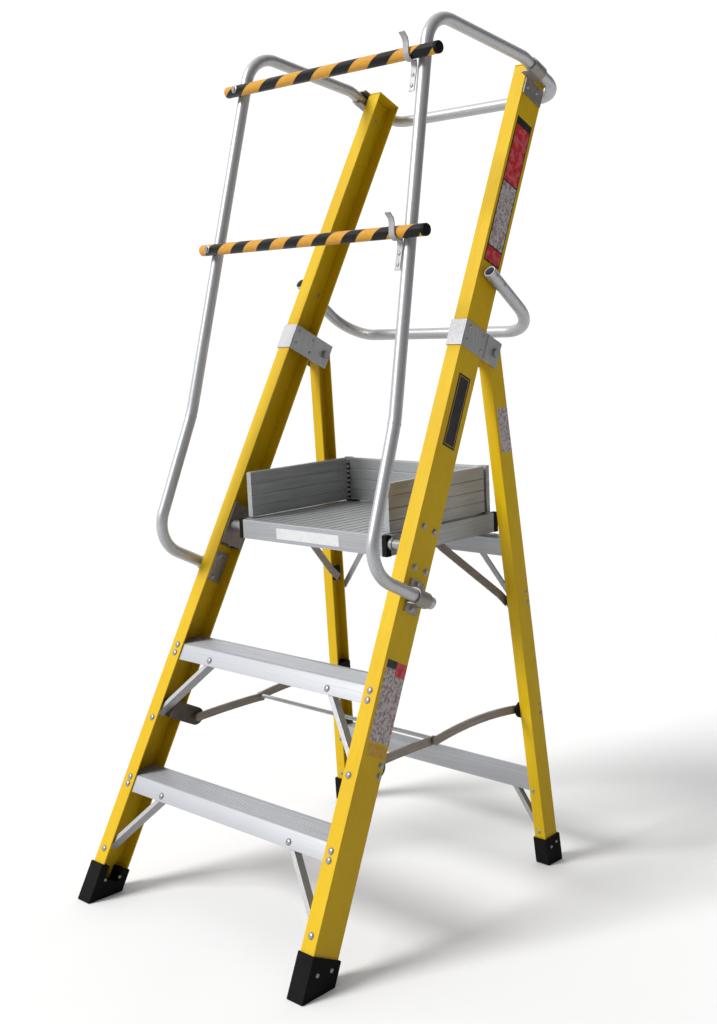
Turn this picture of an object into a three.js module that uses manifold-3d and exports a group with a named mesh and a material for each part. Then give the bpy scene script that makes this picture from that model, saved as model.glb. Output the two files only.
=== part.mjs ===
// Platform step ladder with fibreglass stiles, aluminium treads, a folding standing platform,
// guard rails and two lift-up gate bars.
// Units are millimetres. +Z is up, the climbing side faces -Y and X = 0 is the middle plane.
import * as THREE from "three";
import Module from "manifold-3d";

const wasm = await Module();
wasm.setup();

const GAP = 0.3;

// Everything is drawn from the climbing-side floor line, then moved so Y = 0 is mid-depth.
const MID_DEPTH = 565.13;

// Front frame: leans back by FRONT_SLOPE (run over rise), stiles close in towards the top.
const FRONT_SLOPE = 0.513;
const FRONT_LEAN = Math.atan(FRONT_SLOPE);
const FRONT_HALF_WIDTH = 400.8;
const FRONT_SPLAY = 0.0587;
const FRONT_DEPTH = 79;
const FRONT_FLANGE = 41;
const WALL = 4;
const FRONT_START = 52;
const FRONT_LENGTH = 2236;

// Rear frame: leans forward by REAR_SLOPE from its foot at REAR_FOOT_Y.
const REAR_SLOPE = 0.076;
const REAR_LEAN = Math.atan(REAR_SLOPE);
const REAR_FOOT_Y = 882.4;
const REAR_HALF_WIDTH = 377.8;
const REAR_SPLAY = 0.0528;
const REAR_DEPTH = 48;
const REAR_FLANGE = 33;
const REAR_START = 16;
const REAR_LENGTH = 1324;

// Main hinge and platform hinge axes, both along X.
const HINGE_Y = 803;
const HINGE_Z = 1297;
const HINGE_PIN_RADIUS = 7;
const PLATFORM_PIVOT_Y = 478;
const PLATFORM_PIVOT_Z = 880;
const PLATFORM_PIN_RADIUS = 12;

// Feet.
const FOOT_SKIN = 5;
const FRONT_FOOT_HEIGHT = 98;
const REAR_FOOT_HEIGHT = 68;

// Treads.
const TREAD_HEIGHTS = [291.5, 599];
const TREAD_DEPTH = 78;
const TREAD_SKIRT = 42;
const TREAD_REAR_SKIRT = 24;
const TREAD_THICK = 3;
const RIB = 1;
const RIB_PITCH = 6;

// Rails.
const TUBE_RADIUS = 14.5;
const TUBE_OFFSET = 22;
const TUBE_SIDES = 9;
const LOWER_CLAMP_S = 890;
const TOP_RAIL_S = 2221;
const MID_RAIL_S = 1681;
const RAIL_BUTT = 4;
const CLAMP_THICK = 3.5;

// Platform.
const DECK_TOP = 900;
const DECK_DROP = 48;
const DECK_HALF_WIDTH = 257;
const DECK_FRONT = 461;
const DECK_REAR = 866;
const CAP_SIZE = 14;
const TOE_BOTTOM = 904;
const TOE_TOP = 1018;
const TOE_INNER = 230;
const TOE_OUTER = 246;
const TOE_HINGE_X = 228.5;
const TOE_HINGE_Y = 833;

// Folding stays and platform struts.
const STAY_FRONT = [330, 402];
const STAY_JOINT = [545, 404];
const STAY_REAR = [862, 403];
const STAY_DEPTH = 20;
const FRONT_STAY_X = 301;
const REAR_STAY_X = 308.2;
const STAY_THICK = 6;
const STRUT_TOP = [645, 862];
const STRUT_FOOT = [843, 680];
const STRUT_WIDTH = 20;

// Gate bars: centre depth and height, left and right ends, pivot bolt. The bolt is tipped up by
// "rise" so that a lifted bar leans back with the upright it hangs on.
const BAR_RADIUS = 14;
const GATE_BARS = [
  { name: "upper", y: 567.85, z: 1967, left: -331, right: 375, pivotX: -291, rise: 0.17 },
  { name: "lower", y: 471.52, z: 1577, left: -350, right: 405, pivotX: -317, rise: 0.145 },
];
const RAIL_UPRIGHT_SLOPE = 0.247;
const RAIL_UPRIGHT_Y0 = 115.5;

const YELLOW = 0xf2c22c;
const ALUMINIUM = 0xc9ccd1;
const BLACK = 0x1b1b1d;
const DARK_METAL = 0x6d665c;
const AMBER = 0xe9a93c;

const group = new THREE.Group();
group.name = "platform_step_ladder";

function add(name, geometry, color, metalness, roughness) {
  geometry.translate(0, -MID_DEPTH, 0);
  geometry.computeVertexNormals();
  const material = new THREE.MeshStandardMaterial({ color, metalness, roughness });
  material.name = name + "_material";
  const mesh = new THREE.Mesh(geometry, material);
  mesh.name = name;
  group.add(mesh);
}

function addYellow(name, geometry) {
  add(name, geometry, YELLOW, 0, 0.45);
}

function addAluminium(name, geometry) {
  add(name, geometry, ALUMINIUM, 0.9, 0.4);
}

function addBlack(name, geometry) {
  add(name, geometry, BLACK, 0, 0.7);
}

// Plain triangle soup: positions only.
function bare(geometry) {
  const flat = geometry.index ? geometry.toNonIndexed() : geometry;
  flat.deleteAttribute("normal");
  flat.deleteAttribute("uv");
  return flat;
}

function toManifold(geometry) {
  const flat = bare(geometry.clone());
  const p = flat.getAttribute("position");
  const lookup = new Map();
  const verts = [];
  const tris = [];
  for (let i = 0; i < p.count; i += 1) {
    const key = [p.getX(i), p.getY(i), p.getZ(i)].map((v) => Math.round(v * 1e4)).join(",");
    if (!lookup.has(key)) {
      lookup.set(key, verts.length / 3);
      verts.push(p.getX(i), p.getY(i), p.getZ(i));
    }
    tris.push(lookup.get(key));
  }
  return new wasm.Manifold(new wasm.Mesh({
    numProp: 3,
    vertProperties: new Float32Array(verts),
    triVerts: new Uint32Array(tris),
  }));
}

function fromManifold(solid) {
  const mesh = solid.getMesh();
  const out = new Float32Array(mesh.triVerts.length * 3);
  for (let i = 0; i < mesh.triVerts.length; i += 1) {
    for (let k = 0; k < 3; k += 1) {
      out[i * 3 + k] = mesh.vertProperties[mesh.triVerts[i] * mesh.numProp + k];
    }
  }
  const geometry = new THREE.BufferGeometry();
  geometry.setAttribute("position", new THREE.BufferAttribute(out, 3));
  return geometry;
}

function join(...geometries) {
  return fromManifold(geometries.map(toManifold).reduce((a, b) => a.add(b)));
}

function cut(geometry, ...tools) {
  return fromManifold(tools.map(toManifold).reduce((a, b) => a.subtract(b), toManifold(geometry)));
}

function keepInside(geometry, tool) {
  return fromManifold(toManifold(geometry).intersect(toManifold(tool)));
}

function polygon(points) {
  return new THREE.Shape(points.map(([u, v]) => new THREE.Vector2(u, v)));
}

// Shape drawn in (x, y), pushed along +Z from z0 to z1.
function prismZ(shape, z0, z1, curveSegments = 12) {
  const g = new THREE.ExtrudeGeometry(shape, { depth: z1 - z0, bevelEnabled: false, curveSegments });
  return bare(g.translate(0, 0, z0));
}

// Shape drawn in (y, z), pushed along +X from x0 to x1.
function prismX(shape, x0, x1, curveSegments = 12) {
  const g = new THREE.ExtrudeGeometry(shape, { depth: x1 - x0, bevelEnabled: false, curveSegments });
  const basis = new THREE.Matrix4().makeBasis(
    new THREE.Vector3(0, 1, 0), new THREE.Vector3(0, 0, 1), new THREE.Vector3(1, 0, 0));
  return bare(g.applyMatrix4(basis).translate(x0, 0, 0));
}

// Shape drawn in (x, z), pushed along Y from y0 to y1.
function prismY(shape, y0, y1, curveSegments = 12) {
  const g = new THREE.ExtrudeGeometry(shape, { depth: y1 - y0, bevelEnabled: false, curveSegments });
  const basis = new THREE.Matrix4().makeBasis(
    new THREE.Vector3(1, 0, 0), new THREE.Vector3(0, 0, 1), new THREE.Vector3(0, -1, 0));
  return bare(g.applyMatrix4(basis).translate(0, y1, 0));
}

function box(x0, x1, y0, y1, z0, z1) {
  const g = new THREE.BoxGeometry(x1 - x0, y1 - y0, z1 - z0);
  return bare(g.translate((x0 + x1) / 2, (y0 + y1) / 2, (z0 + z1) / 2));
}

function rodX(x0, x1, y, z, radius, sides = 20) {
  const g = new THREE.CylinderGeometry(radius, radius, x1 - x0, sides);
  return bare(g.rotateZ(Math.PI / 2).translate((x0 + x1) / 2, y, z));
}

function rodY(x, y0, y1, z, radius, sides = 20) {
  const g = new THREE.CylinderGeometry(radius, radius, y1 - y0, sides);
  return bare(g.translate(x, (y0 + y1) / 2, z));
}

function rodZ(x, y, z0, z1, radius, sides = 20) {
  const g = new THREE.CylinderGeometry(radius, radius, z1 - z0, sides);
  return bare(g.rotateX(Math.PI / 2).translate(x, y, (z0 + z1) / 2));
}

function mirrorX(geometry) {
  const g = bare(geometry.clone());
  const p = g.getAttribute("position");
  for (let i = 0; i < p.count; i += 3) {
    const a = [p.getX(i), p.getY(i), p.getZ(i)];
    const b = [p.getX(i + 1), p.getY(i + 1), p.getZ(i + 1)];
    p.setXYZ(i, -b[0], b[1], b[2]);
    p.setXYZ(i + 1, -a[0], a[1], a[2]);
    p.setX(i + 2, -p.getX(i + 2));
  }
  return g;
}

// Frame coordinates: (x, depth behind the front face, distance up the frame).
function leanFront(geometry) {
  return geometry.rotateX(-FRONT_LEAN);
}

function leanRear(geometry) {
  return geometry.rotateX(REAR_LEAN).translate(0, REAR_FOOT_Y, 0);
}

// Stile coordinates: x measured outwards from the outer web face of the right stile.
function shearX(geometry, halfWidth, splay) {
  const m = new THREE.Matrix4().set(1, 0, -splay, halfWidth, 0, 1, 0, 0, 0, 0, 1, 0, 0, 0, 0, 1);
  return geometry.applyMatrix4(m);
}

function onFrontStile(geometry) {
  return leanFront(shearX(geometry, FRONT_HALF_WIDTH, FRONT_SPLAY));
}

function onRearStile(geometry) {
  return leanRear(shearX(geometry, REAR_HALF_WIDTH, REAR_SPLAY));
}

function toFrontFrame(y, z) {
  const c = Math.cos(FRONT_LEAN);
  const s = Math.sin(FRONT_LEAN);
  return [y * c - z * s, y * s + z * c];
}

function toRearFrame(y, z) {
  const c = Math.cos(REAR_LEAN);
  const s = Math.sin(REAR_LEAN);
  return [(y - REAR_FOOT_Y) * c + z * s, z * c - (y - REAR_FOOT_Y) * s];
}

// A curve that puts one ring of an extruded tube at each given point.
class StationCurve extends THREE.Curve {
  constructor(points) {
    super();
    this.points = points;
  }

  getPoint(t) {
    const i = Math.min(Math.round(t * (this.points.length - 1)), this.points.length - 1);
    return this.points[i].clone();
  }

  getPointAt(t) {
    return this.getPoint(t);
  }

  getTangentAt(t) {
    const last = this.points.length - 1;
    const i = Math.round(t * last);
    const before = this.points[Math.max(i - 1, 0)];
    const here = this.points[i];
    const after = this.points[Math.min(i + 1, last)];
    const inward = here.clone().sub(before);
    const outward = after.clone().sub(here);
    if (i === 0) return outward.normalize();
    if (i === last) return inward.normalize();
    return inward.normalize().add(outward.normalize()).normalize();
  }
}

// Straight runs joined by round bends: corners are [x, y, z, bend radius].
function bentPath(corners, arcSteps = 7) {
  const at = corners.map(([x, y, z]) => new THREE.Vector3(x, y, z));
  const points = [at[0]];
  for (let i = 1; i < at.length - 1; i += 1) {
    const d0 = at[i].clone().sub(at[i - 1]).normalize();
    const d1 = at[i + 1].clone().sub(at[i]).normalize();
    const turn = Math.acos(THREE.MathUtils.clamp(d0.dot(d1), -1, 1));
    const radius = corners[i][3];
    const reach = radius * Math.tan(turn / 2);
    const start = at[i].clone().addScaledVector(d0, -reach);
    const inwards = d1.clone().addScaledVector(d0, -d0.dot(d1)).normalize();
    const centre = start.clone().addScaledVector(inwards, radius);
    const steps = Math.max(2, Math.round(arcSteps * turn / (Math.PI / 2)));
    for (let k = 0; k <= steps; k += 1) {
      const a = turn * k / steps;
      points.push(centre.clone()
        .addScaledVector(inwards, -radius * Math.cos(a))
        .addScaledVector(d0, radius * Math.sin(a)));
    }
  }
  points.push(at[at.length - 1]);
  return points;
}

function tube(corners, radius, sides = TUBE_SIDES) {
  const stations = bentPath(corners);
  const round = new THREE.Shape();
  round.absarc(0, 0, radius, 0, Math.PI * 2, false);
  const g = new THREE.ExtrudeGeometry(round, {
    steps: stations.length - 1,
    extrudePath: new StationCurve(stations),
    curveSegments: sides,
  });
  return bare(g);
}

function channel(depth, flange) {
  return polygon([
    [0, 0], [0, depth], [-flange, depth], [-flange, depth - WALL], [-WALL, depth - WALL],
    [-WALL, WALL], [-flange, WALL], [-flange, 0],
  ]);
}

// Flat strip bent into shape: a centre line in the plane thickened to both sides.
function ribbon(line, thickness) {
  const left = [];
  const right = [];
  for (let i = 0; i < line.length; i += 1) {
    const a = new THREE.Vector2(...line[Math.max(i - 1, 0)]);
    const b = new THREE.Vector2(...line[i]);
    const c = new THREE.Vector2(...line[Math.min(i + 1, line.length - 1)]);
    const d0 = b.clone().sub(a);
    const d1 = c.clone().sub(b);
    const dir = d0.normalize().add(d1.normalize()).normalize();
    const bend = i === 0 || i === line.length - 1 ? 1 : Math.abs(dir.dot(d1));
    const h = thickness / 2 / Math.max(bend, 0.5);
    left.push([b.x - dir.y * h, b.y + dir.x * h]);
    right.push([b.x + dir.y * h, b.y - dir.x * h]);
  }
  return polygon([...right, ...left.reverse()]);
}

function pair(prefix, geometry, addFn) {
  addFn(prefix + "_left", mirrorX(geometry));
  addFn(prefix + "_right", geometry);
}

// Front stile: channel with the web outwards, cut square at both ends.
function frontStile() {
  return onFrontStile(prismZ(channel(FRONT_DEPTH, FRONT_FLANGE), FRONT_START, FRONT_LENGTH));
}

// Rear stile: smaller channel with a hole through the web for the main hinge pin.
function rearStile() {
  const [d, r] = toRearFrame(HINGE_Y, HINGE_Z);
  const body = prismZ(channel(REAR_DEPTH, REAR_FLANGE), REAR_START, REAR_LENGTH);
  return onRearStile(cut(body, rodX(-WALL - 3, 3, d, r, HINGE_PIN_RADIUS + 0.6)));
}

// Rubber boot: wraps the stile end, open slot on the inner side, sole cut flat on the floor.
function boot(depth, flange, stileEnd, height, place) {
  const shell = box(-flange - 2, FOOT_SKIN, -FOOT_SKIN, depth + FOOT_SKIN, -60, height);
  const tip = -flange - GAP;
  const inner = -flange - 3;
  const web = WALL + GAP;
  const pocket = prismZ(polygon([
    [GAP, -GAP], [GAP, depth + GAP], [tip, depth + GAP], [tip, depth - web],
    [-web, depth - web], [-web, web], [tip, web], [tip, -GAP],
  ]), stileEnd - GAP, height + 5);
  const lip = depth * 0.24;
  const slot = box(inner, -web + 0.1, lip, depth - lip, stileEnd + 12, height + 5);
  const floor = box(-600, 600, -300, 1200, 0, 400);
  return keepInside(place(cut(shell, pocket, slot)), floor);
}

// Ribbed tread outline in (depth, up-frame) axes, level on top, with front and rear skirts.
function treadOutline(lean, depth, thick, skirt, rearSkirt, slopeSign) {
  const c = Math.cos(lean);
  const s = Math.sin(lean) * slopeSign;
  const pts = [[0, -skirt], [0, -4], [0.6, -1.6], [2.4, -0.4 + 2.4 * s]];
  const count = Math.floor((depth - 8) / RIB_PITCH);
  for (let i = 0; i < count; i += 1) {
    const a = 4 + i * RIB_PITCH;
    pts.push([a * c, a * s - RIB], [(a + RIB_PITCH / 2) * c, (a + RIB_PITCH / 2) * s - RIB]);
    pts.push([(a + RIB_PITCH / 2) * c, (a + RIB_PITCH / 2) * s]);
    pts.push([(a + RIB_PITCH) * c, (a + RIB_PITCH) * s]);
  }
  const back = depth * c;
  pts.push([back, depth * s], [back, depth * s - rearSkirt], [back - thick, depth * s - rearSkirt]);
  pts.push([back - thick, depth * s - thick - RIB], [thick, thick * s - thick - RIB - 1]);
  pts.push([thick, -skirt]);
  return polygon(pts);
}

function frontTread(z) {
  const [, top] = toFrontFrame(z * FRONT_SLOPE, z);
  const outline = treadOutline(FRONT_LEAN, TREAD_DEPTH, TREAD_THICK, TREAD_SKIRT, TREAD_REAR_SKIRT, 1);
  const half = FRONT_HALF_WIDTH - FRONT_SPLAY * (top + 45) - WALL - GAP;
  return leanFront(prismX(outline, -half, half).translate(0, WALL + GAP, top));
}

// Channel-section diagonal brace lying flat against the frame, from (x0, s0) up to (x1, s1).
function brace(x0, s0, x1, s1, front, width, depth) {
  const length = Math.hypot(x1 - x0, s1 - s0);
  const section = polygon([
    [-width / 2, 0], [width / 2, 0], [width / 2, depth], [width / 2 - 2, depth],
    [width / 2 - 2, 2], [-width / 2 + 2, 2], [-width / 2 + 2, depth], [-width / 2, depth],
  ]);
  const g = prismZ(section, 0, length);
  return g.rotateY(Math.atan2(x1 - x0, s1 - s0)).translate(x0, front, s0);
}

function frontBrace(z) {
  const [, top] = toFrontFrame(z * FRONT_SLOPE, z);
  const low = top - 186;
  const foot = FRONT_HALF_WIDTH - FRONT_SPLAY * low - 22;
  const head = FRONT_HALF_WIDTH - FRONT_SPLAY * top - 159;
  return leanFront(brace(foot, low, head, top - 22, WALL + GAP + TREAD_THICK + GAP, 11, 24));
}

// Hinge bracket: folded plate round the front of the stile whose two ears grip the rear stile.
function hingeBracket() {
  const t = 3;
  const o = GAP;
  const back = 140;
  const body = prismZ(polygon([
    [o, -o], [o, back], [o + t, back], [o + t, -o - t], [-FRONT_FLANGE - o - t, -o - t],
    [-FRONT_FLANGE - o - t, back], [-FRONT_FLANGE - o, back], [-FRONT_FLANGE - o, -o],
  ]), 1487, 1552);
  const ridge = box(o + t - 0.5, o + t + 2, 84, 90, 1487, 1552);
  const [d, s] = toFrontFrame(HINGE_Y, HINGE_Z);
  const hole = rodX(-FRONT_FLANGE - 10, 10, d, s, HINGE_PIN_RADIUS + 0.4);
  return onFrontStile(cut(join(body, ridge), hole));
}

function hingePin() {
  const s = toFrontFrame(HINGE_Y, HINGE_Z)[1];
  const web = FRONT_HALF_WIDTH - FRONT_SPLAY * s;
  const shank = rodX(web - 50, web + 8, HINGE_Y, HINGE_Z, HINGE_PIN_RADIUS);
  const head = rodX(web + 4.5, web + 10, HINGE_Y, HINGE_Z, 11, 6);
  const nut = rodX(web - 54, web - 46.5, HINGE_Y, HINGE_Z, 11, 6);
  return join(shank, head, nut);
}

// Guard rail upright on one side: clamped low on the stile, bent up, leaning back, bent to the rear.
function handrail() {
  const a = TUBE_OFFSET;
  const corner = (y, z, r) => {
    const [d, s] = toFrontFrame(y, z);
    return [a, d, s, r];
  };
  const kinkZ = 1171;
  const topY = 625.6;
  return onFrontStile(tube([
    [a, 82, LOWER_CLAMP_S, 0],
    [a, -144.3, LOWER_CLAMP_S, 85],
    corner(RAIL_UPRIGHT_Y0 + RAIL_UPRIGHT_SLOPE * kinkZ, kinkZ, 260),
    corner(topY, (topY - RAIL_UPRIGHT_Y0) / RAIL_UPRIGHT_SLOPE, 80),
    [a, -48, TOP_RAIL_S, 60],
    [a, RAIL_BUTT, TOP_RAIL_S, 0],
  ], TUBE_RADIUS));
}

// Rear top rail: level U square to the stiles, joining the two uprights end to end.
function topRail() {
  const x = FRONT_HALF_WIDTH - FRONT_SPLAY * TOP_RAIL_S + TUBE_OFFSET;
  return leanFront(tube([
    [x, RAIL_BUTT + 1, TOP_RAIL_S, 0], [x, 121, TOP_RAIL_S, 66],
    [-x, 121, TOP_RAIL_S, 66], [-x, RAIL_BUTT + 1, TOP_RAIL_S, 0],
  ], TUBE_RADIUS));
}

// Middle rail: U dropping towards the rear, stood off the stile webs on short spacers.
function midRail() {
  const x = FRONT_HALF_WIDTH - FRONT_SPLAY * MID_RAIL_S + TUBE_OFFSET;
  const drop = (d) => MID_RAIL_S - 0.21 * (d - 14);
  const u = tube([
    [x, 14, drop(14), 0], [x, 242, drop(242), 95], [-x, 242, drop(242), 95], [-x, 14, drop(14), 0],
  ], TUBE_RADIUS);
  const spacers = [];
  for (const d of [30, 64]) {
    const web = FRONT_HALF_WIDTH - FRONT_SPLAY * drop(d);
    const spacer = rodX(web + 0.9, web + TUBE_OFFSET, d, drop(d), 8, 14);
    spacers.push(spacer, mirrorX(spacer));
  }
  return leanFront(join(u, ...spacers));
}

// Saddle: flat legs on the stile web with an arch over the tube, in stile coordinates.
function saddle(s, legDown, legUp, d0, d1) {
  const ri = TUBE_RADIUS + 0.9;
  const ro = ri + CLAMP_THICK;
  const foot = GAP + CLAMP_THICK;
  const shape = new THREE.Shape();
  shape.moveTo(GAP, s - legDown);
  shape.lineTo(foot, s - legDown);
  shape.lineTo(foot, s - ro);
  shape.lineTo(TUBE_OFFSET, s - ro);
  shape.absarc(TUBE_OFFSET, s, ro, -Math.PI / 2, Math.PI / 2, false);
  shape.lineTo(foot, s + ro);
  shape.lineTo(foot, s + legUp);
  shape.lineTo(GAP, s + legUp);
  shape.lineTo(GAP, s + ri);
  shape.lineTo(TUBE_OFFSET, s + ri);
  shape.absarc(TUBE_OFFSET, s, ri, Math.PI / 2, -Math.PI / 2, true);
  shape.lineTo(GAP, s - ri);
  shape.closePath();
  return prismY(shape, d0, d1, 10);
}

function handrailClamp() {
  return onFrontStile(saddle(LOWER_CLAMP_S, 38, 38, 20, 64));
}

// Top clamp: saddle over the butted tube ends, with a broad plate below it bolted to the web.
function topRailClamp() {
  const plate = box(GAP, GAP + CLAMP_THICK, 3, FRONT_DEPTH - 3, TOP_RAIL_S - 62, TOP_RAIL_S - 18);
  return onFrontStile(join(saddle(TOP_RAIL_S, 20, 20, -18, 28), plate));
}

// Gate hook: strap on the front of the right upright, curled under and in front of the bar.
function gateHook(bar) {
  const front = TUBE_RADIUS + 0.4 + 1.5;
  const norm = Math.hypot(1, RAIL_UPRIGHT_SLOPE);
  const onTube = (z) => [RAIL_UPRIGHT_Y0 + RAIL_UPRIGHT_SLOPE * z - front * norm, z];
  const line = [onTube(bar.z - 82), onTube(bar.z - 30)];
  const reach = BAR_RADIUS + 3.2;
  for (let k = 0; k <= 8; k += 1) {
    const a = THREE.MathUtils.degToRad(-62 - 118 * k / 8);
    line.push([bar.y + reach * Math.cos(a), bar.z + reach * Math.sin(a)]);
  }
  line.push([bar.y - reach + 1, bar.z + 20], [bar.y - reach - 1, bar.z + 30], [bar.y - reach - 12, bar.z + 42]);
  const webHere = FRONT_HALF_WIDTH + TUBE_OFFSET - 0.067 * bar.z;
  return prismX(ribbon(line, 3), webHere - 8, webHere + 8);
}

// Gate bar with its pivot bolt, which runs through it towards the left upright.
function gateBar(bar) {
  const body = rodX(bar.left, bar.right, bar.y, bar.z, BAR_RADIUS, 24);
  const shank = rodY(0, -BAR_RADIUS - 4, BAR_RADIUS + 2.6, 0, 5, 12);
  const head = rodY(0, -BAR_RADIUS - 6, -BAR_RADIUS + 1, 0, 8, 6);
  const bolt = join(shank, head).rotateX(-Math.atan(bar.rise)).translate(bar.pivotX, bar.y, bar.z);
  return join(body, bolt);
}

// Box bracket inside the front stile that carries the platform pivot.
function platformBracket() {
  const [d, s] = toFrontFrame(PLATFORM_PIVOT_Y, PLATFORM_PIVOT_Z);
  const outer = box(-FRONT_FLANGE - 4, -WALL - GAP, WALL + GAP, FRONT_DEPTH - WALL - GAP, 948, 1056);
  const inner = box(-FRONT_FLANGE - 1, -WALL - GAP - 3, WALL + GAP + 3, FRONT_DEPTH - WALL - GAP - 3, 938, 1066);
  const hole = rodX(-FRONT_FLANGE - 12, -FRONT_FLANGE + 3, d, s, PLATFORM_PIN_RADIUS + 0.6);
  return onFrontStile(cut(outer, inner, hole));
}

function platformPin() {
  const s = toFrontFrame(PLATFORM_PIVOT_Y, PLATFORM_PIVOT_Z)[1];
  const web = FRONT_HALF_WIDTH - FRONT_SPLAY * s;
  const side = DECK_HALF_WIDTH + 1 + GAP;
  const barrel = rodX(side, web - WALL - 9, PLATFORM_PIVOT_Y, PLATFORM_PIVOT_Z, PLATFORM_PIN_RADIUS);
  const collar = rodX(side, side + 9, PLATFORM_PIVOT_Y, PLATFORM_PIVOT_Z, 15);
  return join(barrel, collar);
}

// Deck panel with turned-down side skirts and shallow grooves running front to back.
function deck() {
  const half = DECK_HALF_WIDTH;
  const pts = [[-half, DECK_TOP - DECK_DROP], [-half, DECK_TOP - 1]];
  const grooves = 17;
  const pitch = (2 * half - 20) / grooves;
  for (let i = 0; i < grooves; i += 1) {
    const x = -half + 10 + i * pitch;
    pts.push([x, DECK_TOP - 1], [x, DECK_TOP], [x + pitch / 2, DECK_TOP], [x + pitch / 2, DECK_TOP - 1]);
  }
  pts.push([half, DECK_TOP - 1], [half, DECK_TOP - DECK_DROP], [half - 6, DECK_TOP - DECK_DROP]);
  pts.push([half - 6, DECK_TOP - 5], [-half + 6, DECK_TOP - 5], [-half + 6, DECK_TOP - DECK_DROP]);
  const clean = pts.filter((p, i) => i === 0 || p[0] !== pts[i - 1][0] || p[1] !== pts[i - 1][1]);
  return prismY(polygon(clean), DECK_FRONT + CAP_SIZE + GAP, DECK_REAR - CAP_SIZE - GAP);
}

// Edge moulding across the front or rear of the deck; "out" is the sign of its outward side.
function deckEdge(y, out, half) {
  const t = 3;
  const w = CAP_SIZE;
  const top = DECK_TOP;
  const low = DECK_TOP - DECK_DROP;
  const pts = [
    [0, low], [0, top - 3], [-0.9, top - 0.9], [-3, top], [-w, top], [-w, top - t - 2], [-t, top - t - 2],
    [-t, top - 22], [-t + 1.2, top - 23.5], [-t, top - 25], [-t, low + t], [-w + 3, low + t], [-w + 3, low],
  ];
  const side = pts.map(([u, v]) => [y + u * out, v]);
  const shape = polygon(out > 0 ? side.reverse() : side);
  return prismX(shape, -half, half);
}

function cornerCap() {
  const x1 = DECK_HALF_WIDTH + 1;
  const x0 = DECK_HALF_WIDTH - CAP_SIZE;
  const y0 = DECK_FRONT - 1;
  const y1 = DECK_FRONT + CAP_SIZE;
  const r = 4;
  const outline = polygon([[x0, y0], [x1 - r, y0], [x1 - r * 0.3, y0 + r * 0.3], [x1, y0 + r], [x1, y1], [x0, y1]]);
  return prismZ(outline, DECK_TOP - DECK_DROP - 1, DECK_TOP + 1);
}

// Ribbed toe board section: thickness from t0 to t1, height from TOE_BOTTOM to TOE_TOP.
function toeSection(t0, t1) {
  const left = [];
  const right = [];
  const bands = 4;
  const step = (TOE_TOP - TOE_BOTTOM) / bands;
  for (let i = 0; i < bands; i += 1) {
    const z = TOE_BOTTOM + i * step;
    right.push([t1, z], [t1, z + step - 3], [t1 - 1.5, z + step - 2], [t1 - 1.5, z + step - 0.5]);
    left.push([t0, z], [t0, z + step - 3], [t0 + 1.5, z + step - 2], [t0 + 1.5, z + step - 0.5]);
  }
  return polygon([...right, ...left.reverse()]);
}

function sideToeBoard() {
  const board = prismY(toeSection(TOE_INNER, TOE_OUTER), 485, TOE_HINGE_Y - 2);
  const knuckle = rodZ(TOE_HINGE_X, TOE_HINGE_Y, TOE_BOTTOM + 4, TOE_TOP - 6, 4.2, 12);
  const leaf = box(TOE_HINGE_X, TOE_INNER + 3, TOE_HINGE_Y - 30, TOE_HINGE_Y, TOE_BOTTOM + 4, TOE_TOP - 8);
  return join(board, knuckle, leaf);
}

// Rear toe board with an upright post at each end for the side boards to close against.
function rearToeBoard() {
  const board = prismX(toeSection(834.5, 850), -224, 224);
  const post = box(223.4, 247, 839, 851, DECK_TOP + 1.4, TOE_TOP + 1);
  return join(board, post, mirrorX(post));
}

// Struts: pivot under the deck, straight at first, then set out sideways to the rear stile.
function platformStrut() {
  const [y0, z0] = STRUT_TOP;
  const [y1, z1] = STRUT_FOOT;
  const length = Math.hypot(y1 - y0, z1 - z0);
  const t = 4;
  const plan = ribbon([[243, -11], [243, 30], [297, length - 34], [297, length + 4]], t);
  const strip = prismY(plan, -STRUT_WIDTH / 2, STRUT_WIDTH / 2);
  const headPin = rodY(0, -250.6, -240, 0, 7, 14).rotateZ(Math.PI / 2);
  const g = join(strip, headPin);
  const turn = Math.atan2(y1 - y0, z1 - z0);
  return g.rotateX(-turn).translate(0, y0, z0);
}

// One stay link in a (y, z) plane: slightly arched strip with round ends.
function stayLink(from, to, rise) {
  const n = 8;
  const line = [];
  for (let i = 0; i <= n; i += 1) {
    const t = i / n;
    const y = from[0] + (to[0] - from[0]) * t;
    const z = from[1] + (to[1] - from[1]) * t + rise * 4 * t * (1 - t);
    line.push([y, z]);
  }
  return ribbon(line, STAY_DEPTH);
}

function frontStay() {
  const strip = prismX(stayLink(STAY_FRONT, STAY_JOINT, 2), FRONT_STAY_X, FRONT_STAY_X + STAY_THICK);
  const eyes = [STAY_FRONT, STAY_JOINT].map(([y, z]) =>
    rodX(FRONT_STAY_X, FRONT_STAY_X + STAY_THICK, y, z, STAY_DEPTH / 2 + 1, 20));
  const pin = rodX(FRONT_STAY_X, 328, STAY_FRONT[0], STAY_FRONT[1], 6, 14);
  return join(strip, ...eyes, pin);
}

function rearStay() {
  const strip = prismX(stayLink(STAY_JOINT, STAY_REAR, 12), REAR_STAY_X, REAR_STAY_X + STAY_THICK);
  const eyes = [STAY_JOINT, STAY_REAR].map(([y, z]) =>
    rodX(REAR_STAY_X, REAR_STAY_X + STAY_THICK, y, z, STAY_DEPTH / 2 + 1, 20));
  const pin = rodX(REAR_STAY_X, 324, STAY_REAR[0], STAY_REAR[1], 6, 14);
  return join(strip, ...eyes, pin);
}

function roundedPlate(cy, cz, length, height) {
  const shape = new THREE.Shape();
  const r = height / 2;
  shape.absarc(cy, cz, r, -Math.PI / 2, Math.PI / 2, false);
  shape.lineTo(cy - length, cz + r);
  shape.lineTo(cy - length, cz - r);
  shape.closePath();
  const hole = new THREE.Path();
  hole.absarc(cy, cz, 6.6, 0, Math.PI * 2, true);
  shape.holes.push(hole);
  return shape;
}

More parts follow.
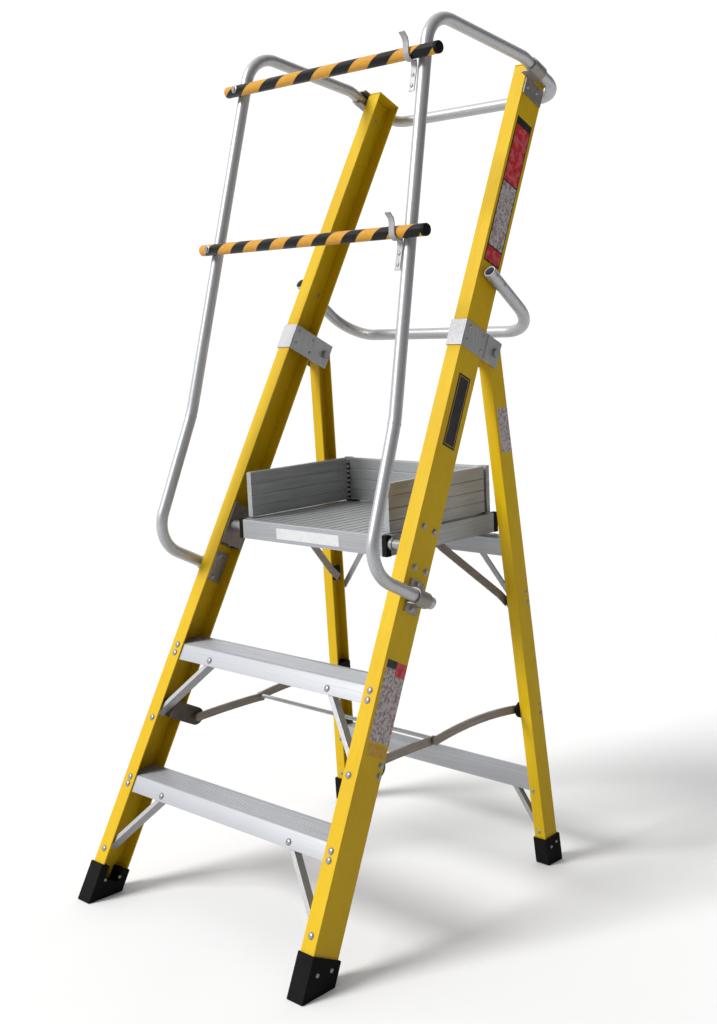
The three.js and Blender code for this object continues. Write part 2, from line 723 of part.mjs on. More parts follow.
// Block inside the front stile with a rearward ear for the folding stay.
function stayBlock() {
  const [d, s] = toFrontFrame(STAY_FRONT[0], STAY_FRONT[1]);
  const ear = prismX(roundedPlate(d, s, 78, 46), -FRONT_FLANGE - 15, -FRONT_FLANGE - 1);
  const core = box(-FRONT_FLANGE - 2, -WALL - GAP, 32, FRONT_DEPTH - WALL - GAP - 1, s - 20, s + 20);
  return onFrontStile(join(ear, core));
}

function stayBracketRear() {
  const [d, r] = toRearFrame(STAY_REAR[0], STAY_REAR[1]);
  const shape = new THREE.Shape();
  shape.absarc(d - 2, r, 20, Math.PI / 2, Math.PI * 1.5, false);
  shape.lineTo(REAR_DEPTH - WALL - 1, r - 20);
  shape.lineTo(REAR_DEPTH - WALL - 1, r + 20);
  shape.closePath();
  const hole = new THREE.Path();
  hole.absarc(d, r, 6.6, 0, Math.PI * 2, true);
  shape.holes.push(hole);
  const ear = prismX(shape, -REAR_FLANGE - 7, -REAR_FLANGE - 1);
  const core = box(-REAR_FLANGE - 2, -WALL - GAP, 26, REAR_DEPTH - WALL - GAP - 1, r - 18, r + 18);
  return onRearStile(join(ear, core));
}

function tieRod() {
  const reach = FRONT_STAY_X - GAP;
  return rodX(-reach, reach, STAY_JOINT[0], STAY_JOINT[1] + 3, 5, 14);
}

// Rear tread and rear crossbar: channels nested between the rear stiles.
function rearMember(z, height, ribs) {
  const [, top] = toRearFrame(REAR_FOOT_Y - z * REAR_SLOPE, z);
  const deep = REAR_DEPTH - 2 * WALL - 2 * GAP;
  const half = REAR_HALF_WIDTH - REAR_SPLAY * (top + 4) - WALL - GAP;
  const outline = ribs
    ? treadOutline(REAR_LEAN, deep - 1, 3, height, 20, -1)
    : polygon([[0, -height], [0, 0], [deep, 0], [deep, -18], [deep - 3, -18], [deep - 3, -3], [3, -3], [3, -height]]);
  return leanRear(prismX(outline, -half, half).translate(0, WALL + GAP, top));
}

// Channel brace from a rear cross member down to a stile; front is the depth of its web's front face.
function rearBrace(xTop, zTop, xFoot, zFoot, front, depth) {
  const low = toRearFrame(REAR_FOOT_Y - zFoot * REAR_SLOPE, zFoot)[1];
  const high = toRearFrame(REAR_FOOT_Y - zTop * REAR_SLOPE, zTop)[1];
  return leanRear(brace(xFoot, low, xTop, high, front, 14, depth));
}

// The crossbar's brace runs down the back of the stile and stands off the crossbar's lip on a spacer.
function crossbarBrace() {
  const [xTop, zTop] = [163, 834];
  const up = toRearFrame(REAR_FOOT_Y - zTop * REAR_SLOPE, zTop)[1] - 2;
  const spacer = leanRear(rodY(xTop + 3, REAR_DEPTH - WALL, REAR_DEPTH + GAP + 1, up, 5, 14));
  return join(rearBrace(xTop, zTop, 316, 640, REAR_DEPTH + GAP, 5), spacer);
}

pair("front_stile", frontStile(), addYellow);
pair("rear_stile", rearStile(), addYellow);
pair("front_foot", boot(FRONT_DEPTH, FRONT_FLANGE, FRONT_START, FRONT_FOOT_HEIGHT, onFrontStile), addBlack);
pair("rear_foot", boot(REAR_DEPTH, REAR_FLANGE, REAR_START, REAR_FOOT_HEIGHT, onRearStile), addBlack);
addAluminium("tread_lower", frontTread(TREAD_HEIGHTS[0]));
addAluminium("tread_upper", frontTread(TREAD_HEIGHTS[1]));
pair("brace_lower", frontBrace(TREAD_HEIGHTS[0]), addAluminium);
pair("brace_upper", frontBrace(TREAD_HEIGHTS[1]), addAluminium);
addAluminium("rear_tread", rearMember(236, 46, true));
addAluminium("rear_crossbar", rearMember(843, 44, false));
pair("rear_tread_brace", rearBrace(263, 222, 345, 92, WALL + 2 * GAP + 3, 14), addAluminium);
pair("rear_crossbar_brace", crossbarBrace(), addAluminium);
pair("hinge_bracket", hingeBracket(), addAluminium);
pair("hinge_pin", hingePin(), addAluminium);
pair("handrail", handrail(), addAluminium);
addAluminium("top_rail", topRail());
addAluminium("mid_rail", midRail());
pair("handrail_clamp", handrailClamp(), addAluminium);
pair("top_rail_clamp", topRailClamp(), addAluminium);
for (const bar of GATE_BARS) {
  addAluminium("gate_hook_" + bar.name, gateHook(bar));
  add("gate_bar_" + bar.name, gateBar(bar), AMBER, 0, 0.5);
}
pair("platform_bracket", platformBracket(), addAluminium);
pair("platform_pin", platformPin(), addAluminium);
addAluminium("platform_deck", deck());
addAluminium("platform_front_edge", deckEdge(DECK_FRONT, -1, DECK_HALF_WIDTH - CAP_SIZE - GAP));
addAluminium("platform_rear_edge", deckEdge(DECK_REAR, 1, DECK_HALF_WIDTH));
pair("platform_cap", cornerCap(), addBlack);
pair("toe_board", sideToeBoard(), addAluminium);
addAluminium("toe_board_rear", rearToeBoard());
pair("platform_strut", platformStrut(), addAluminium);
pair("stay_block", stayBlock(), (n, g) => add(n, g, DARK_METAL, 0, 0.7));
pair("stay_bracket_rear", stayBracketRear(), addBlack);
pair("stay_front", frontStay(), (n, g) => add(n, g, DARK_METAL, 0.9, 0.4));
pair("stay_rear", rearStay(), (n, g) => add(n, g, DARK_METAL, 0.9, 0.4));
addAluminium("stay_tie_rod", tieRod());

export default group;
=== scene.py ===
import math

import bmesh
import bpy
from mathutils import Matrix, Vector


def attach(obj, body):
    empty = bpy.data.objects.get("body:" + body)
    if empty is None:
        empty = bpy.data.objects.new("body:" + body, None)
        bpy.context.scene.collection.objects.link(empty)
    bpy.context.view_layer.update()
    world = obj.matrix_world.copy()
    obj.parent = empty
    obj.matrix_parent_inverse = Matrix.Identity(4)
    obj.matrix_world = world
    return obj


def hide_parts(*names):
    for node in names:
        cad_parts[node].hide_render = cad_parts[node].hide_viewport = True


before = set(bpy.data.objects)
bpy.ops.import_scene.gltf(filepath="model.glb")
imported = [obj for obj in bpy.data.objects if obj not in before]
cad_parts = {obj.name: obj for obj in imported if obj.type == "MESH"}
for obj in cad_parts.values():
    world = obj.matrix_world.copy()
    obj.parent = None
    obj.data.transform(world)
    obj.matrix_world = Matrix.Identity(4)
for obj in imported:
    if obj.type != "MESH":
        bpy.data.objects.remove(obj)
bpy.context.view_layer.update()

# Dimensions in millimetres, with the CAD's values. A name that ends in _S is a distance up the
# front stile, and the others are depths, widths and heights of the open ladder.
MM = 0.001
MID_DEPTH = 565.13
FRONT_LEAN = math.atan(0.513)
FRONT_HALF_WIDTH = 400.8
FRONT_SPLAY = 0.0587
FRONT_DEPTH = 79
FRONT_TOP = 2236
FRONT_FLANGE = 41
WALL = 4
GAP = 0.3
REAR_LEAN = math.atan(0.076)
REAR_FOOT_Y = 882.4
REAR_HALF_WIDTH = 377.8
REAR_SPLAY = 0.0528
REAR_DEPTH = 48
TUBE_RADIUS = 14.5
TUBE_OFFSET = 22
TUBE_WALL = 2.2
LOWER_CLAMP_S = 890
TOP_RAIL_S = 2221
MID_RAIL_S = 1681
RAIL_BUTT = 4
RAIL_Y0 = 115.5
RAIL_SLOPE = 0.247
RAIL_TOP_Y = 625.6
RAIL_LOW_END = 82
RAIL_ELBOW = -144.3
RAIL_SHOULDER = -48
KINK_Z = 1171
TOP_RAIL_BACK = 121
MID_RAIL_END = 14
MID_RAIL_BACK = 242
MID_RAIL_DROP = 0.21
HOOK_TAPER = 0.067
HOOK_STRAP = 3
DECK_TOP = 900
DECK_FRONT = 461
DECK_REAR = 866
DECK_HALF = 257
TOE_HINGE = (228.5, 833)
TOE_BOTTOM = 904
TOE_TOP = 1018
BAR_RADIUS = 14
UPPER_BAR = {"y": 567.85, "z": 1967, "left": -331, "right": 375, "pivot": -291, "rise": 0.17}
LOWER_BAR = {"y": 471.52, "z": 1577, "left": -350, "right": 405, "pivot": -317, "rise": 0.145}

# Fixings: (depth, distance up the stile) of each bolt or rivet, and (radius, height) of heads.
PLATFORM_BRACKET_BOLTS = ((22, 1050), (62, 1049), (24, 954), (64, 955))
STAY_BLOCK_BOLTS = ((68, 512), (70, 489))
HINGE_BRACKET_RIVETS = ((15, 1541), (15, 1507), (70, 1539), (70, 1503))
TOP_CLAMP_RIVETS = ((14, TOP_RAIL_S - 42), (50, TOP_RAIL_S - 36))
LOWER_CLAMP_BOLTS_S = (LOWER_CLAMP_S - 29, LOWER_CLAMP_S + 29)
TREAD_RIVETS_LEFT_S = (319, 301, 666, 645)
TREAD_RIVETS_RIGHT_S = (311, 291, 662, 640)
LARGE_RIVET = (8.2, 4)
SMALL_RIVET = (4.6, 2.4)

# Camera: viewpoint in millimetres, angles in radians, focal length and sensor in millimetres.
CAMERA_AT = (2338.86, -1732.24, 1417.15)
CAMERA_YAW = 0.7794
CAMERA_PITCH = 0.1504
CAMERA_ROLL = -0.0439
CAMERA_LENS = 47.26
SENSOR = 36

# Brightness of a matt white surface that faces the key light, relative to display white.
FULL_LIGHT = 1.66
KEY_FROM = (-0.35, -0.70, 0.62)
KEY_STRENGTH = 3.6
# Sky strength as sums of ramps: direction, ramp from, ramp to, strength at each end.
SKY_RAMPS = [
    ((1, 0, 0), -0.2, 0.35, 0.65, 0.05),
    ((0, 0, 1), 0.3, 0.9, 0, 0.45),
    ((-0.707, 0.707, 0), 0.4, 0.8, 0, 0.4),
]

COS_FRONT, SIN_FRONT = math.cos(FRONT_LEAN), math.sin(FRONT_LEAN)
COS_REAR, SIN_REAR = math.cos(REAR_LEAN), math.sin(REAR_LEAN)


# ---------------------------------------------------------------- placing points

def at(x, y, z):
    """Part millimetres to row-frame metres."""
    return Vector((x * MM, (y - MID_DEPTH) * MM, z * MM))


def front_plane(x, depth, up):
    """Point in the leaning plane of the front frame."""
    return at(x, depth * COS_FRONT + up * SIN_FRONT, up * COS_FRONT - depth * SIN_FRONT)


def on_front(out, depth, up, side=1):
    """Point on a front stile: out is measured from the web's outer face."""
    return front_plane(side * (FRONT_HALF_WIDTH - FRONT_SPLAY * up + out), depth, up)


def on_rear(out, depth, up, side=1):
    """Point on a rear stile: out is measured from the web's outer face."""
    x = side * (REAR_HALF_WIDTH - REAR_SPLAY * up + out)
    return at(x, REAR_FOOT_Y + depth * COS_REAR - up * SIN_REAR, depth * SIN_REAR + up * COS_REAR)


def to_front(y, z):
    """Upright (y, z) as (depth, up) in the plane of the front frame."""
    return y * COS_FRONT - z * SIN_FRONT, y * SIN_FRONT + z * COS_FRONT


def across(side, inner, outer):
    """Range of x between two distances from the middle, on one side."""
    return sorted((side * inner, side * outer))


def panel(place, out, depths, ups, side=1):
    """Corners of a rectangle parallel to a stile's web."""
    d0, d1 = depths
    s0, s1 = ups
    return [place(out, d, s, side) for d, s in ((d0, s0), (d1, s0), (d1, s1), (d0, s1))]


FRONT_OUT = Vector((0, -COS_FRONT, SIN_FRONT))
FRONT_UP = Vector((0, SIN_FRONT, COS_FRONT))
REAR_OUT = Vector((0, COS_REAR, SIN_REAR))
SIDES = ((-1, "left"), (1, "right"))


# ---------------------------------------------------------------- mesh building

class Build:
    """Collects simple solids into one mesh, in row-frame metres."""

    def __init__(self):
        self.bm = bmesh.new()

    def loops(self, rings, close_ends=True):
        """Skin a list of rings, each a list of points with the same count."""
        made = [[self.bm.verts.new(p) for p in ring] for ring in rings]
        count = len(made[0])
        for a, b in zip(made, made[1:]):
            for i in range(count):
                j = (i + 1) % count
                self.bm.faces.new((a[i], a[j], b[j], b[i]))
        if close_ends:
            self.bm.faces.new(list(reversed(made[0])))
            self.bm.faces.new(made[-1])
        return self

    def ring(self, centre, u, v, radius, sides):
        """Circle of points in the plane of u and v."""
        turn = 2 * math.pi / sides
        return [
            centre + (u * math.cos(i * turn) + v * math.sin(i * turn)) * radius
            for i in range(sides)]

    def lathe(self, centre, normal, profile, sides=24):
        """Turn a (radius, height) profile round a normal; millimetres."""
        n = normal.normalized()
        u = n.orthogonal().normalized()
        v = n.cross(u)
        rings = [self.ring(centre + n * h * MM, u, v, max(r, 0.02) * MM, sides) for r, h in profile]
        return self.loops(rings)

    def dome(self, centre, normal, radius=5.2, height=2.8):
        """Domed rivet head with a small dimple left by its mandrel."""
        r, h = radius, height
        return self.lathe(centre, normal, [
            (r, -0.4), (r, 0.18 * h), (0.93 * r, 0.42 * h), (0.74 * r, 0.75 * h), (0.46 * r, 0.97 * h),
            (0.3 * r, h), (0.22 * r, 0.82 * h), (0.02, 0.8 * h)])

    def bolt(self, centre, normal, radius=6.2, height=3.6):
        """Washer with a hexagon head on it."""
        washer = radius + 2.6
        self.lathe(centre, normal, [(washer, -0.3), (washer, 1.0), (washer - 0.5, 1.3), (0.02, 1.3)])
        top = 1.2 + height
        return self.lathe(centre, normal, [
            (radius, 1.2), (radius, top - 0.7), (radius - 0.8, top), (0.02, top)], 6)

    def slab(self, corners, offset):
        """Prism from the corners of a face and the vector to the opposite face."""
        return self.loops([corners, [c + offset for c in corners]])

    def block(self, x, y, z):
        """Axis-aligned block from three (low, high) ranges in part millimetres."""
        plan = ((x[0], y[0]), (x[1], y[0]), (x[1], y[1]), (x[0], y[1]))
        base = [at(a, b, z[0]) for a, b in plan]
        return self.slab(base, Vector((0, 0, (z[1] - z[0]) * MM)))

    def sweep(self, points, radius, sides=28, wall=0, bore=0):
        """Round tube along points; with a wall it is bored at both ends to the given length."""
        rings = []
        u = None
        for i, p in enumerate(points):
            before = points[max(i - 1, 0)]
            after = points[min(i + 1, len(points) - 1)]
            t = (after - before).normalized()
            u = (t.orthogonal() if u is None else u - t * u.dot(t)).normalized()
            rings.append(self.ring(p, u, t.cross(u), radius * MM, sides))
        if not wall:
            return self.loops(rings)
        shrink = (radius - wall) / radius
        for end, inner in ((0, 1), (-1, -2)):
            centre = points[end]
            axis = (points[inner] - centre).normalized()
            mouth = [centre + (q - centre) * shrink for q in rings[end]]
            deep = [q + axis * bore * MM for q in mouth]
            rings = [deep, mouth] + rings if end == 0 else rings + [mouth, deep]
        return self.loops(rings)


def rounding(obj, width, segments=2):
    """Soften edges and shade smooth across shallow angles."""
    if width:
        bevel = obj.modifiers.new("rounded_edges", "BEVEL")
        bevel.width = width * MM
        bevel.segments = segments
        bevel.limit_method = "ANGLE"
        bevel.angle_limit = math.radians(35)
        bevel.use_clamp_overlap = True
    shade = obj.modifiers.new("smooth_by_angle", "NODES")
    shade.node_group = SMOOTH_GROUP
    if width:
        weigh = obj.modifiers.new("even_normals", "WEIGHTED_NORMAL")
        weigh.keep_sharp = True


def smooth_group():
    """Geometry nodes that shade smooth except across sharp edges."""
    g = bpy.data.node_groups.new("smooth_by_angle", "GeometryNodeTree")
    g.interface.new_socket("Geometry", in_out="INPUT", socket_type="NodeSocketGeometry")
    g.interface.new_socket("Geometry", in_out="OUTPUT", socket_type="NodeSocketGeometry")
    start = g.nodes.new("NodeGroupInput")
    end = g.nodes.new("NodeGroupOutput")
    faces = g.nodes.new("GeometryNodeSetShadeSmooth")
    edges = g.nodes.new("GeometryNodeSetShadeSmooth")
    edges.domain = "EDGE"
    edges.inputs["Shade Smooth"].default_value = False
    angle = g.nodes.new("GeometryNodeInputMeshEdgeAngle")
    sharp = g.nodes.new("FunctionNodeCompare")
    sharp.data_type = "FLOAT"
    sharp.operation = "GREATER_THAN"
    sharp.inputs[1].default_value = math.radians(38)
    g.links.new(start.outputs[0], faces.inputs["Geometry"])
    g.links.new(faces.outputs[0], edges.inputs["Geometry"])
    g.links.new(angle.outputs["Unsigned Angle"], sharp.inputs[0])
    g.links.new(sharp.outputs[0], edges.inputs["Selection"])
    g.links.new(edges.outputs[0], end.inputs[0])
    return g


SMOOTH_GROUP = smooth_group()


def piece(name, build, material, body, width=0, stands_for=()):
    """Turn a Build into a named object riding on a CAD body."""
    bmesh.ops.recalc_face_normals(build.bm, faces=build.bm.faces)
    mesh = bpy.data.meshes.new(name)
    build.bm.to_mesh(mesh)
    build.bm.free()
    obj = bpy.data.objects.new(name, mesh)
    bpy.context.scene.collection.objects.link(obj)
    mesh.materials.append(material)
    rounding(obj, width)
    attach(obj, body)
    if stands_for:
        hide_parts(*stands_for)
    return obj


# ---------------------------------------------------------------- materials

class Shader:
    """A Principled material with a few procedural layers."""

    def __init__(self, name, roughness, metallic=0, ior=1.5):
        self.material = bpy.data.materials.new(name)
        self.material.use_nodes = True
        self.tree = self.material.node_tree
        self.out = self.tree.nodes["Principled BSDF"]
        self.set("Metallic", metallic)
        self.set("Roughness", roughness)
        self.set("IOR", ior)
        self.where = self.node("ShaderNodeTexCoord").outputs["Object"]

    def set(self, socket, value):
        self.out.inputs[socket].default_value = value

    def node(self, kind):
        return self.tree.nodes.new(kind)

    def link(self, a, b):
        self.tree.links.new(a, b)

    def noise(self, scale, detail=4, stretch=(1, 1, 1), lean=0, rough=0.55):
        """Noise in object space; stretch below 1 draws it out along that axis."""
        turn = self.node("ShaderNodeVectorRotate")
        turn.rotation_type = "X_AXIS"
        turn.inputs["Angle"].default_value = lean
        self.link(self.where, turn.inputs["Vector"])
        size = self.node("ShaderNodeVectorMath")
        size.operation = "MULTIPLY"
        size.inputs[1].default_value = stretch
        self.link(turn.outputs[0], size.inputs[0])
        tex = self.node("ShaderNodeTexNoise")
        tex.inputs["Scale"].default_value = scale
        tex.inputs["Detail"].default_value = detail
        tex.inputs["Roughness"].default_value = rough
        self.link(size.outputs[0], tex.inputs["Vector"])
        return tex.outputs["Fac"]

    def remap(self, value, low, high, to_low, to_high):
        """Straight-line change of range, clamped at both ends."""
        m = self.node("ShaderNodeMapRange")
        for i, v in enumerate((low, high, to_low, to_high)):
            m.inputs[i + 1].default_value = v
        self.link(value, m.inputs[0])
        return m.outputs[0]

    def math(self, operation, a, b=None):
        """Arithmetic on sockets or numbers."""
        m = self.node("ShaderNodeMath")
        m.operation = operation
        for i, v in enumerate((a, b)):
            if v is None:
                continue
            if isinstance(v, (int, float)):
                m.inputs[i].default_value = v
            else:
                self.link(v, m.inputs[i])
        return m.outputs[0]

    def mix(self, factor, a, b):
        """Blend of two colours, each a tuple or a socket."""
        m = self.node("ShaderNodeMix")
        m.data_type = "RGBA"
        for i, v in ((6, a), (7, b)):
            if isinstance(v, tuple):
                m.inputs[i].default_value = (*v, 1)
            else:
                self.link(v, m.inputs[i])
        if isinstance(factor, (int, float)):
            m.inputs[0].default_value = factor
        else:
            self.link(factor, m.inputs[0])
        return m.outputs[2]

    def colour(self, value):
        self.link(value, self.out.inputs["Base Color"])

    def rough(self, value):
        self.link(value, self.out.inputs["Roughness"])

    def bump(self, height, strength, distance):
        b = self.node("ShaderNodeBump")
        b.inputs["Strength"].default_value = strength
        b.inputs["Distance"].default_value = distance
        self.link(height, b.inputs["Height"])
        self.link(b.outputs[0], self.out.inputs["Normal"])


def seen(r, g, b):
    """Reflectance of a surface that shows this sRGB colour (0-255) when it faces the key light."""
    def one(c):
        c /= 255
        return (c / 12.92 if c <= 0.04045 else ((c + 0.055) / 1.055) ** 2.4) / FULL_LIGHT
    return one(r), one(g), one(b)


def fibreglass(name, lean):
    """Yellow resin channel: long faint grain along the stile, small flecks and slow tint changes."""
    s = Shader(name, 0.5, ior=1.28)
    broad = s.noise(5, 3)
    grain = s.noise(330, 3, (1, 1, 0.03), lean)
    flecks = s.noise(900, 2)
    base = s.mix(s.remap(broad, 0.35, 0.7, 0, 1), seen(246, 206, 14), seen(240, 195, 10))
    base = s.mix(s.remap(grain, 0.35, 0.75, 0, 0.45), base, seen(226, 177, 10))
    base = s.mix(s.remap(flecks, 0.66, 0.8, 0, 0.35), base, seen(196, 146, 20))
    s.colour(base)
    s.rough(s.remap(grain, 0.3, 0.7, 0.44, 0.6))
    s.bump(grain, 0.25, 0.0004)
    return s.material


def brushed(name, light, dark, roughness, stretch, scale=260, bump=0.12, metallic=0.45):
    """Drawn or rolled metal: fine lines along one axis, cloudy tone and a few scuffs."""
    rough_low, rough_high = roughness
    s = Shader(name, rough_low, metallic=metallic)
    lines = s.noise(scale, 5, stretch)
    broad = s.noise(7, 4)
    scuffs = s.noise(70, 6, (0.4, 1, 1), 0, 0.7)
    base = s.mix(s.remap(lines, 0.3, 0.7, 0, 1), light, dark)
    base = s.mix(s.remap(broad, 0.45, 0.75, 0, 0.35), base, dark)
    base = s.mix(s.remap(scuffs, 0.62, 0.8, 0, 0.3), base, tuple(c * 0.7 for c in dark))
    s.colour(base)
    s.rough(s.remap(lines, 0.25, 0.75, rough_low, rough_high))
    s.bump(lines, bump, 0.0003)
    return s.material


def moulded(name, light, dark, roughness, grit=1400, bump=0.3):
    """Moulded rubber or plastic with a fine textured skin."""
    s = Shader(name, roughness, ior=1.25)
    fine = s.noise(grit, 3)
    broad = s.noise(18, 5)
    base = s.mix(s.remap(broad, 0.4, 0.75, 0, 1), dark, light)
    s.colour(s.mix(s.remap(fine, 0.6, 0.8, 0, 0.4), base, light))
    s.rough(s.remap(broad, 0.3, 0.7, roughness - 0.08, roughness + 0.1))
    s.bump(fine, bump, 0.0003)
    return s.material


def barber_stripe(name, bar, pitch, phase):
    """Amber sleeve with a black tape wound round it."""
    s = Shader(name, 0.5, ior=1.3)
    split = s.node("ShaderNodeSeparateXYZ")
    s.link(s.where, split.inputs[0])
    dy = s.math("SUBTRACT", split.outputs[1], (bar["y"] - MID_DEPTH) * MM)
    dz = s.math("SUBTRACT", split.outputs[2], bar["z"] * MM)
    turn = s.math("DIVIDE", s.math("ARCTAN2", dz, dy), 2 * math.pi)
    along = s.math("DIVIDE", split.outputs[0], pitch * MM)
    wave = s.math("FRACT", s.math("ADD", s.math("ADD", along, turn), phase + 20))
    edge = s.remap(s.math("ABSOLUTE", s.math("SUBTRACT", wave, 0.5)), 0.235, 0.255, 1, 0)
    wear = s.noise(220, 6, (0.5, 1, 1), 0, 0.7)
    amber = s.mix(s.remap(wear, 0.4, 0.75, 0, 0.6), seen(238, 174, 58), seen(205, 140, 44))
    black = s.mix(s.remap(wear, 0.5, 0.8, 0, 0.6), seen(5, 5, 6), seen(26, 25, 25))
    s.colour(s.mix(edge, amber, black))
    s.rough(s.remap(wear, 0.3, 0.7, 0.34, 0.5))
    s.bump(s.math("ADD", s.math("MULTIPLY", edge, 0.5), wear), 0.2, 0.0004)
    return s.material


def printed(name, ground, ink, scale, amount, lean=FRONT_LEAN):
    """Label stock with blurred blocks of a second colour; no lettering."""
    s = Shader(name, 0.48, ior=1.4)
    blocks = s.noise(scale, 2, (1, 1, 0.8), lean)
    fade = s.noise(40, 4)
    base = s.mix(s.remap(blocks, 0.5, 0.54, 0, amount), ground, ink)
    s.colour(s.mix(s.remap(fade, 0.45, 0.8, 0, 0.3), base, tuple(c * 0.75 for c in ground)))
    s.rough(s.remap(fade, 0.3, 0.7, 0.38, 0.55))
    s.bump(blocks, 0.05, 0.0002)
    return s.material


FRP_FRONT = fibreglass("fibreglass_front", FRONT_LEAN)
FRP_REAR = fibreglass("fibreglass_rear", -REAR_LEAN)
EXTRUSION = brushed(
    "extruded_aluminium", seen(206, 208, 213), seen(186, 188, 193), (0.3, 0.5), (0.02, 1, 1))
SHEET = brushed(
    "sheet_aluminium", seen(210, 210, 212), seen(182, 182, 184), (0.38, 0.55), (1, 1, 0.05), 320)
DECKING = brushed(
    "deck_aluminium", seen(206, 209, 211), seen(178, 181, 183), (0.4, 0.58), (1, 0.03, 1),
    metallic=0.35)
TUBING = brushed(
    "drawn_tube", seen(228, 229, 232), seen(204, 205, 209), (0.34, 0.5), (1, 1, 0.06), 420, 0.06, 0.6)
CLAMP_METAL = brushed(
    "clamp_plate", seen(186, 178, 170), seen(154, 146, 138), (0.36, 0.55), (1, 1, 0.2), 300)
STEEL = brushed("zinc_steel", seen(205, 205, 205), seen(150, 149, 148), (0.25, 0.4), (1, 1, 1), 500)
BRACKET_METAL = brushed(
    "bracket_plate", seen(156, 142, 130), seen(122, 110, 100), (0.4, 0.6), (1, 1, 0.2), 300)
DARK_STEEL = brushed(
    "stay_steel", seen(178, 166, 154), seen(142, 132, 122), (0.38, 0.58), (1, 0.06, 1), 300)
RUBBER = moulded("boot_rubber", seen(18, 18, 19), seen(6, 6, 7), 0.8, 1500, 0.45)
BLACK_PLASTIC = moulded("black_plastic", seen(22, 22, 23), seen(9, 9, 10), 0.7)
BLOCK_PLASTIC = moulded("grey_brown_plastic", seen(128, 114, 102), seen(98, 87, 77), 0.6)
UPPER_STRIPE = barber_stripe("upper_bar_stripe", UPPER_BAR, 124, 0.27)
LOWER_STRIPE = barber_stripe("lower_bar_stripe", LOWER_BAR, 96, 0.05)
LABEL_RED = printed("label_red", seen(226, 26, 44), seen(238, 170, 172), 70, 0.3)
LABEL_GREY = printed("label_grey", seen(214, 206, 206), seen(142, 92, 96), 150, 0.7)
LABEL_BLACK = printed("label_black", seen(24, 24, 26), seen(44, 44, 46), 60, 0.5)
LABEL_PALE = printed("label_pale", seen(244, 247, 246), seen(228, 231, 231), 120, 0.3, 0)
LABEL_GOLD = printed("label_gold", seen(226, 176, 40), seen(206, 150, 30), 90, 0.5)

# CAD nodes that stay: name start, material, edge rounding in millimetres.
FINISHES = [
    ("front_stile", FRP_FRONT, 1.3), ("rear_stile", FRP_REAR, 1.2),
    ("front_foot", RUBBER, 1.6), ("rear_foot", RUBBER, 1.4),
    ("tread_", EXTRUSION, 0), ("rear_tread_brace", SHEET, 0.5), ("rear_tread", EXTRUSION, 0),
    ("rear_crossbar_brace", SHEET, 0.5), ("rear_crossbar", EXTRUSION, 0.5), ("brace_", SHEET, 0.5),
    ("hinge_bracket", SHEET, 0.6), ("hinge_pin", STEEL, 0.4),
    ("handrail_clamp", CLAMP_METAL, 0.6), ("top_rail_clamp", CLAMP_METAL, 0.6),
    ("gate_hook", SHEET, 0.5), ("platform_bracket", BRACKET_METAL, 0.5), ("platform_pin", STEEL, 0.6),
    ("platform_deck", DECKING, 0), ("platform_front_edge", EXTRUSION, 0.4),
    ("platform_rear_edge", EXTRUSION, 0.4), ("platform_cap", BLACK_PLASTIC, 0.8),
    ("toe_board", DECKING, 0.3), ("platform_strut", DARK_STEEL, 0.6), ("stay_tie_rod", TUBING, 0.4),
    ("stay_block", BLOCK_PLASTIC, 1.0), ("stay_bracket_rear", BLACK_PLASTIC, 0.8),
    ("stay_", DARK_STEEL, 0.6),
]


def dress_cad_nodes():
    """Give every visible CAD node its material, and soften its edges."""
    for name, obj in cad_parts.items():
        if obj.hide_render:
            continue
        material, width = next((m, w) for start, m, w in FINISHES if name.startswith(start))
        obj.data.materials.clear()
        obj.data.materials.append(material)
        weld = obj.modifiers.new("weld", "WELD")
        weld.merge_threshold = 0.00001
        rounding(obj, width)


# ---------------------------------------------------------------- rails and bars

def bent_path(corners, place, arc_steps=14):
    """Straight runs joined by round bends; corners are (a, b, c, bend radius) in millimetres."""
    pts = [Vector(c[:3]) for c in corners]
    out = [pts[0]]
    for i in range(1, len(pts) - 1):
        d0 = (pts[i] - pts[i - 1]).normalized()
        d1 = (pts[i + 1] - pts[i]).normalized()
        turn = d0.angle(d1)
        radius = corners[i][3]
        start = pts[i] - d0 * radius * math.tan(turn / 2)
        inwards = (d1 - d0 * d0.dot(d1)).normalized()
        centre = start + inwards * radius
        steps = max(3, round(arc_steps * turn / (math.pi / 2)))
        for k in range(steps + 1):
            a = turn * k / steps
            out.append(centre - inwards * radius * math.cos(a) + d0 * radius * math.sin(a))
    out.append(pts[-1])
    return [place(*p) for p in out]


